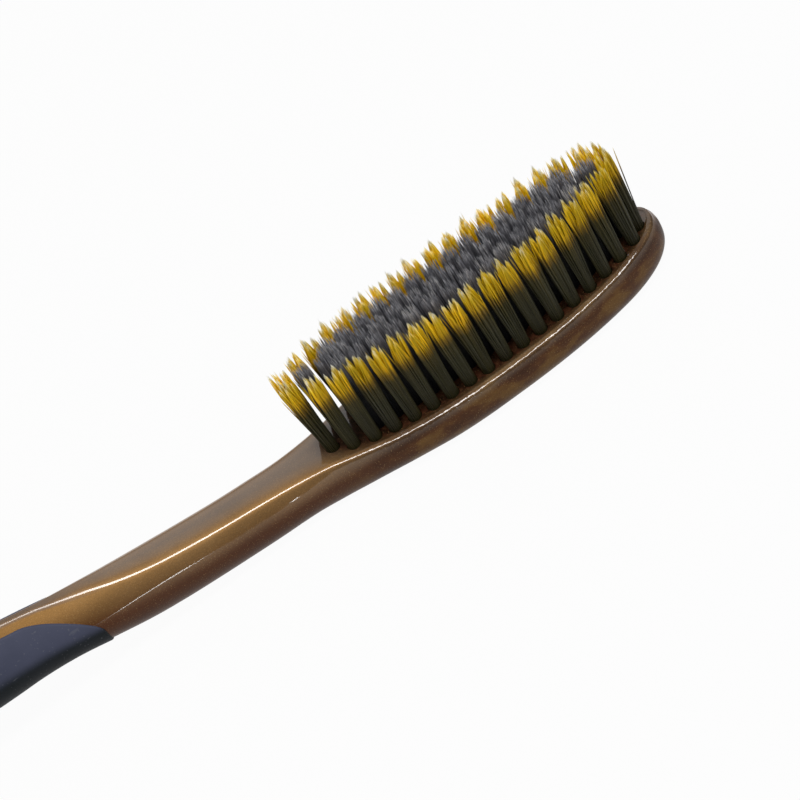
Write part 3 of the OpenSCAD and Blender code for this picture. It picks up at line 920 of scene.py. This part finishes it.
def rubber_material():
    """Soft blue-black rubber: painted light above, painted shade below, with pale dust and short fibres."""
    m = Nodes("soft_rubber")
    plain = m.object_coords()
    fine = m.noise(plain, scale=5200, detail=3, roughness=0.6)
    cloud = m.noise(plain, scale=240, detail=3, roughness=0.5)
    dust = m.noise(plain, scale=3100, detail=1, roughness=0.4)
    fibre = m.noise(m.object_coords((0.16, 1.0, 0.7)), scale=2100, detail=2, roughness=0.5)
    # The upper face is lighter with painted light, the lower one darker with painted shade
    painted_light_upper = m.ramp(cloud, [(0.3, (0.048, 0.053, 0.083)), (0.7, (0.058, 0.063, 0.098))])
    painted_shade_lower = m.ramp(cloud, [(0.3, (0.008, 0.011, 0.013)), (0.7, (0.012, 0.015, 0.019))])
    base = m.mix(m.attribute("low"), painted_light_upper, painted_shade_lower)
    specks = m.ramp(dust, [(0.69, (0, 0, 0)), (0.74, (1, 1, 1))])
    hairs = m.ramp(fibre, [(0.71, (0, 0, 0)), (0.76, (1, 1, 1))])
    marks = m.math("MAXIMUM", m.red(specks), m.red(hairs))
    base = m.mix(m.math("MULTIPLY", marks, 0.3), base, (0.13, 0.135, 0.15))
    m.put(Base_Color=base, IOR=1.45, Specular_IOR_Level=0.12)
    m.put(Roughness=m.math("ADD", 0.46, m.math("MULTIPLY", fine, 0.18)))
    m.bump(fine, strength=0.25, distance=0.00003)
    return m.material


# Colours along a filament, from its foot to its tip: the nylon's own olive, yellow, charcoal and grey,
# darker at the foot with painted shade deep in the tuft, and paler at the very tip with a painted sheen
OUTER_COLOURS = [
    (0.0, (0.023, 0.020, 0.0055)), (0.40, (0.035, 0.031, 0.007)), (0.58, (0.062, 0.048, 0.008)),
    (0.67, (0.26, 0.15, 0.008)), (0.75, (0.70, 0.43, 0.006)), (0.88, (0.82, 0.57, 0.012)),
    (0.935, (0.80, 0.62, 0.12)), (0.975, (0.66, 0.62, 0.42)), (1.0, (0.62, 0.62, 0.58))]
INNER_COLOURS = [
    (0.0, (0.010, 0.010, 0.012)), (0.50, (0.018, 0.018, 0.020)), (0.64, (0.046, 0.046, 0.053)),
    (0.74, (0.115, 0.113, 0.128)), (0.90, (0.165, 0.162, 0.180)), (0.96, (0.24, 0.24, 0.26)),
    (1.0, (0.36, 0.36, 0.38))]


def bristle_material(name, colours):
    """Nylon filaments, dark at the foot and pale at the tip, partly with painted shade and sheen, and a tone
    of their own each.
    """
    m = Nodes(name)
    tone = m.attribute("tone")
    streak = m.noise(m.object_coords((1, 1, 0.12)), scale=3600, detail=2, roughness=0.5)
    shift = m.math("MULTIPLY", m.math("SUBTRACT", tone, 0.5), 0.07)
    colour = m.ramp(m.math("ADD", m.attribute("along"), shift), colours)
    streaks = m.ramp(streak, [(0.3, (0.6, 0.6, 0.6)), (0.7, (1.3, 1.3, 1.3))])
    tones = m.ramp(tone, [(0.0, (0.55, 0.55, 0.55)), (0.6, (1.0, 1.0, 1.0)), (1.0, (1.75, 1.65, 1.45))])
    colour = m.mix(0.25, colour, streaks, "MULTIPLY")
    colour = m.mix(0.8, colour, tones, "MULTIPLY")
    m.put(Base_Color=colour, Roughness=0.45, IOR=1.45, Specular_IOR_Level=0.35)
    return m.material


def brass_material():
    """Bright drawn brass, for the anchors inside the holes."""
    m = Nodes("brass_plate")
    grain = m.noise(m.object_coords((0.2, 1, 1)), scale=4200, detail=3, roughness=0.6)
    base = m.ramp(grain, [(0.3, (0.56, 0.42, 0.18)), (0.7, (0.74, 0.58, 0.30))])
    m.put(Base_Color=base, Metallic=1.0)
    m.put(Roughness=m.math("ADD", 0.18, m.math("MULTIPLY", grain, 0.2)))
    return m.material


def dress(obj, material, node):
    """Give a dressed piece its material, hang it under the root, and hide the part of the model it stands in
    for.
    """
    obj.data.materials.clear()
    obj.data.materials.append(material)
    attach(obj, "root")
    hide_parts(node)


# The pieces

FIRST_SEED = 71
# The filaments of the row furthest from the camera are paler by this share: painted light, as if the
# bright wall behind shone through them
FAR_ROW = "outer_tufts_left"
FAR_ROW_PAINTED_LIGHT = 0.45

dress(make_handle(), bronze_material(), "handle")
dress(make_rubber(), rubber_material(), "rubber_grip")
outer_bristles = bristle_material("outer_bristles", OUTER_COLOURS)
inner_bristles = bristle_material("inner_bristles", INNER_COLOURS)
for seed, (row, places) in enumerate(rows.items(), FIRST_SEED):
    name = row.replace("tufts", "bristles")
    painted_light = FAR_ROW_PAINTED_LIGHT if row == FAR_ROW else 0.0
    if row.startswith("outer"):
        dress(make_tufts(name, places, OUTER, seed, painted_light), outer_bristles, row)
    else:
        dress(make_tufts(name, places, INNER, seed, painted_light), inner_bristles, row)
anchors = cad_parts["tuft_anchors"]
anchors.data.materials.clear()
anchors.data.materials.append(brass_material())

# Floor, room, lamps and camera

# The floor reaches so far, in millimetres, that its edge lies near the horizon, also in low views
FLOOR_HALF = 40000
FLOOR_GREY = (0.35, 0.35, 0.35)
FLOOR_UNEVEN = 0.985
# Brightness of the floor to the camera and in mirrors, and its part there. The rest keeps the shadow.
GLOW = 1.01
GLOW_SHARE = 0.95


def pale_material(name, colour):
    """A matt surface that looks white to the camera and in mirrors, and keeps the object's shadow."""
    m = Nodes(name)
    m.tree.nodes.remove(m.bsdf)
    matt = m.add("ShaderNodeBsdfDiffuse")
    grain = m.noise(m.object_coords(), scale=60, detail=2, roughness=0.5)
    darker = tuple(c * FLOOR_UNEVEN for c in colour)
    m.link(m.ramp(grain, [(0.3, darker), (0.7, colour)]), matt.inputs["Color"])
    glow = m.add("ShaderNodeEmission")
    glow.inputs["Color"].default_value = (1, 1, 1, 1)
    glow.inputs["Strength"].default_value = GLOW
    path = m.add("ShaderNodeLightPath")
    mirrored = m.math("MAXIMUM", path.outputs["Is Glossy Ray"], path.outputs["Is Transmission Ray"])
    seen = m.math("MAXIMUM", path.outputs["Is Camera Ray"], mirrored)
    blend = m.add("ShaderNodeMixShader")
    m.link(m.math("MULTIPLY", seen, GLOW_SHARE), blend.inputs["Fac"])
    m.link(matt.outputs["BSDF"], blend.inputs[1])
    m.link(glow.outputs["Emission"], blend.inputs[2])
    m.link(blend.outputs["Shader"], m.output.inputs["Surface"])
    return m.material


floor_corners = [(sx * FLOOR_HALF, sy * FLOOR_HALF, 0) for sx, sy in ((-1, -1), (1, -1), (1, 1), (-1, 1))]
floor = mesh_object("floor", floor_corners, [(0, 1, 2, 3)], smooth=False)
floor.data.materials.append(pale_material("pale_floor", FLOOR_GREY))


# The way to the bright wall, the cosine of the angle from there at which it begins to show, and the
# brightness of the room and of the middle of the wall
WALL_WAY = (0.25, 0.73, 0.64)
WALL_EDGE = 0.70
ROOM_LIGHT = 0.2
WALL_LIGHT = 1.0


def make_room():
    """A dim room with one soft bright wall behind the brush."""
    world = bpy.data.worlds.new("studio")
    bpy.context.scene.world = world
    world.use_nodes = True
    nodes, links = world.node_tree.nodes, world.node_tree.links
    back = nodes["Background"]
    back.inputs["Color"].default_value = (1, 1, 1, 1)
    coords = nodes.new("ShaderNodeTexCoord")
    toward = nodes.new("ShaderNodeVectorMath")
    toward.operation = "DOT_PRODUCT"
    toward.inputs[1].default_value = Vector(WALL_WAY).normalized()
    links.new(coords.outputs["Generated"], toward.inputs[0])
    wall = nodes.new("ShaderNodeMapRange")
    wall.interpolation_type = "SMOOTHERSTEP"
    wall.inputs["From Min"].default_value = WALL_EDGE
    wall.inputs["From Max"].default_value = 1.0
    wall.inputs["To Min"].default_value = ROOM_LIGHT
    wall.inputs["To Max"].default_value = WALL_LIGHT
    links.new(toward.outputs["Value"], wall.inputs["Value"])
    links.new(wall.outputs["Result"], back.inputs["Strength"])


def area_light(name, at, look, size, watts):
    """A rectangular lamp at a place in metres, turned to another, with its longer side along the brush."""
    data = bpy.data.lights.new(name, "AREA")
    data.energy = watts
    data.shape = "RECTANGLE"
    data.size, data.size_y = size
    obj = bpy.data.objects.new(name, data)
    bpy.context.scene.collection.objects.link(obj)
    obj.location = at
    back_z = (Vector(at) - Vector(look)).normalized()
    side_x = (Vector((1, 0, 0)) - back_z * back_z.x).normalized()
    obj.rotation_euler = Matrix((side_x, back_z.cross(side_x), back_z)).transposed().to_euler()


make_room()
# The large lamp draws the line along the neck's edge, and the small one the thin streak low on its side
area_light("overhead", at=(0.12, -0.32, 0.86), look=(0.06, 0.0, 0.0), size=(0.9, 0.19), watts=8.8)
area_light("low_front", at=(0.041, -0.6, 0.024), look=(0.03, 0.0, 0.008), size=(0.020, 0.016), watts=0.028)

# The camera's place in millimetres from the middle of the head's face, its line of sight and its turn
# about that line
EYE_FROM_FACE = (-24.971, -192.690, 167.743)
AZIMUTH = math.radians(3.968)
ELEVATION = math.radians(41.009)
ROLL = math.radians(33.711)
LENS = 108.0
SENSOR_W = 36.0
CLIP_START = 0.01


def make_camera():
    """The camera at its place, turned to its line of sight and about it."""
    forward = Vector((math.sin(AZIMUTH) * math.cos(ELEVATION), math.cos(AZIMUTH) * math.cos(ELEVATION),
                      -math.sin(ELEVATION)))
    level = Vector((math.cos(AZIMUTH), -math.sin(AZIMUTH), 0))
    down = forward.cross(level)
    right = level * math.cos(ROLL) + down * math.sin(ROLL)
    up = -forward.cross(right)
    data = bpy.data.cameras.new("camera")
    data.lens = LENS
    data.sensor_width = SENSOR_W
    data.clip_start = CLIP_START
    camera = bpy.data.objects.new("camera", data)
    bpy.context.scene.collection.objects.link(camera)
    eye = Vector((HEAD_X + EYE_FROM_FACE[0], EYE_FROM_FACE[1], HEAD_T + EYE_FROM_FACE[2])) * MM
    turn = Matrix((right, up, -forward)).transposed()
    camera.matrix_world = Matrix.Translation(eye) @ turn.to_4x4()
    bpy.context.scene.camera = camera


make_camera()
bpy.context.scene.view_settings.view_transform = "Standard"
